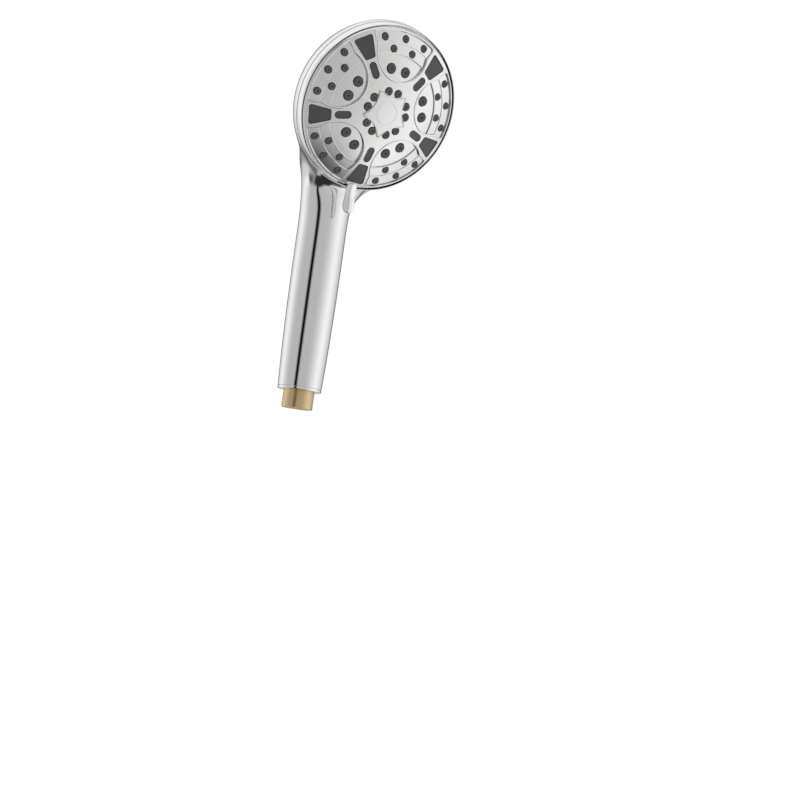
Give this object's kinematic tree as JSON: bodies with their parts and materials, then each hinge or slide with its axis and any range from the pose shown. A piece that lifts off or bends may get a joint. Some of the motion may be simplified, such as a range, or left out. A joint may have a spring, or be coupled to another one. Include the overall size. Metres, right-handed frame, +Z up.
{
  "type": "handheld shower head",
  "caption": "Handheld shower head with a straight grip, a tilted round head, a domed turning spray face with lobed nozzle fields, a thumb lever and a threaded inlet.",
  "frame": {"origin": "centre of the inlet thread's lower end", "axes": "+Z up the handle's axis, spray face looking to -Y and tilted down, +X to the right seen from the front with the face towards the viewer"},
  "size_m": [0.1142, 0.0936, 0.2565],
  "materials": {
    "chrome_shell": "bright chrome plate on ABS",
    "chrome_trim": "bright chrome plate",
    "satin_face": "satin chrome plate on ABS",
    "cap_chrome": "satin chrome plate",
    "silicone": "dark grey silicone",
    "brass_inlet": "machined",
    "seal_rubber": "black rubber",
    "white_plastic": "natural moulded",
    "filter_mesh": "moulded mesh",
    "regulator_plastic": "moulded",
    "acetal": "acetal",
    "steel": "stainless steel"
  },
  "bodies": {
    "handle": {"handle_shell": "chrome_shell", "trim_ring": "chrome_trim", "end_cap": "chrome_trim", "inlet_connector": "brass_inlet", "connector_o_ring": "seal_rubber", "inlet_filter": "filter_mesh", "flow_regulator": "regulator_plastic", "regulator_o_ring": "seal_rubber", "water_tube": "white_plastic", "tube_o_ring": "seal_rubber", "inner_housing": "white_plastic", "housing_screws": "steel", "port_seal": "seal_rubber", "port_seal_spring": "steel", "pivot_o_ring": "seal_rubber", "glide_washer": "acetal", "detent_spring": "steel", "pivot_screw": "steel", "screw_washer": "steel"},
    "spray_face": {"face_plate": "satin_face", "nozzle_sheet": "silicone", "chamber_plate": "white_plastic", "rotor_gasket": "seal_rubber", "distributor_plate": "white_plastic", "face_screws": "steel", "centre_cap": "cap_chrome", "selector_lever": "chrome_trim"},
    "detent": {"detent_pin": "acetal"}
  },
  "joints": [
    {"name": "face_turn", "type": "hinge", "parent": "handle", "child": "spray_face", "pos_m": [0, -0.05399, 0.19891], "axis": [0, -0.9107, -0.4131], "range_deg": [-60, 60]},
    {"name": "detent_click", "type": "slide", "parent": "handle", "child": "detent", "axis": [0, -0.9107, -0.4131], "range_m": [0, 0.00045], "stiffness_N_per_m": 400}
  ]
}
